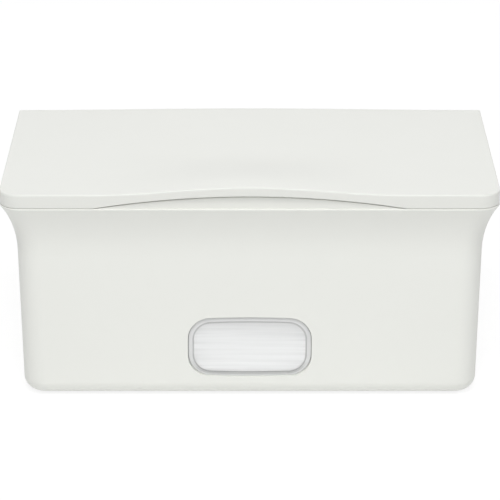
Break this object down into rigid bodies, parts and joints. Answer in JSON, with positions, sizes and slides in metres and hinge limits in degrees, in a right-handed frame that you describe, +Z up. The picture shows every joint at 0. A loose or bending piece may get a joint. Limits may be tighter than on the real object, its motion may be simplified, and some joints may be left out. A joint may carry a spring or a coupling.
{
  "type": "wipes dispenser",
  "caption": "Flared tub for wet wipes with a clear front window, a rear-hinged lid with an arched finger lip, a silicone seal and a weighted slotted plate over the wipes.",
  "frame": {"origin": "on the resting plane, under the middle of the whole dispenser", "axes": "+X to the object's right seen from the front, +Y from the front window to the rear hinge, +Z up"},
  "size_m": [0.228, 0.134, 0.1071],
  "materials": {
    "shell_plastic": "fine satin moulded",
    "window_clear": "clear polished",
    "seal_silicone": "soft matte silicone",
    "foot_rubber": "matte non-slip",
    "pin_steel": "drawn bright",
    "plate_plastic": "satin moulded",
    "weight_steel": "zinc plated",
    "wipe_fabric": "damp nonwoven"
  },
  "bodies": {
    "tub": {"body_shell": "shell_plastic", "window_lens": "window_clear", "window_seal": "seal_silicone", "foot_front_left": "foot_rubber", "foot_front_right": "foot_rubber", "foot_rear_left": "foot_rubber", "foot_rear_right": "foot_rubber", "hinge_pin_left": "pin_steel", "hinge_pin_right": "pin_steel", "wipes_stack": "wipe_fabric"},
    "lid": {"lid_cover": "shell_plastic", "lid_liner": "shell_plastic", "lid_seal": "seal_silicone"},
    "plate": {"plate_cover": "plate_plastic", "plate_base": "plate_plastic", "plate_weight_left": "weight_steel", "plate_weight_right": "weight_steel", "top_wipe": "wipe_fabric"}
  },
  "joints": [
    {"name": "lid_hinge", "type": "hinge", "parent": "tub", "child": "lid", "pos_m": [0, 0.06317, 0.09925], "axis": [-1, 0, 0], "range_deg": [0, 100]},
    {"name": "plate_slide", "type": "slide", "parent": "tub", "child": "plate", "axis": [0, 0, -1], "range_m": [0, 0.06], "deforming": ["wipes_stack"]}
  ]
}
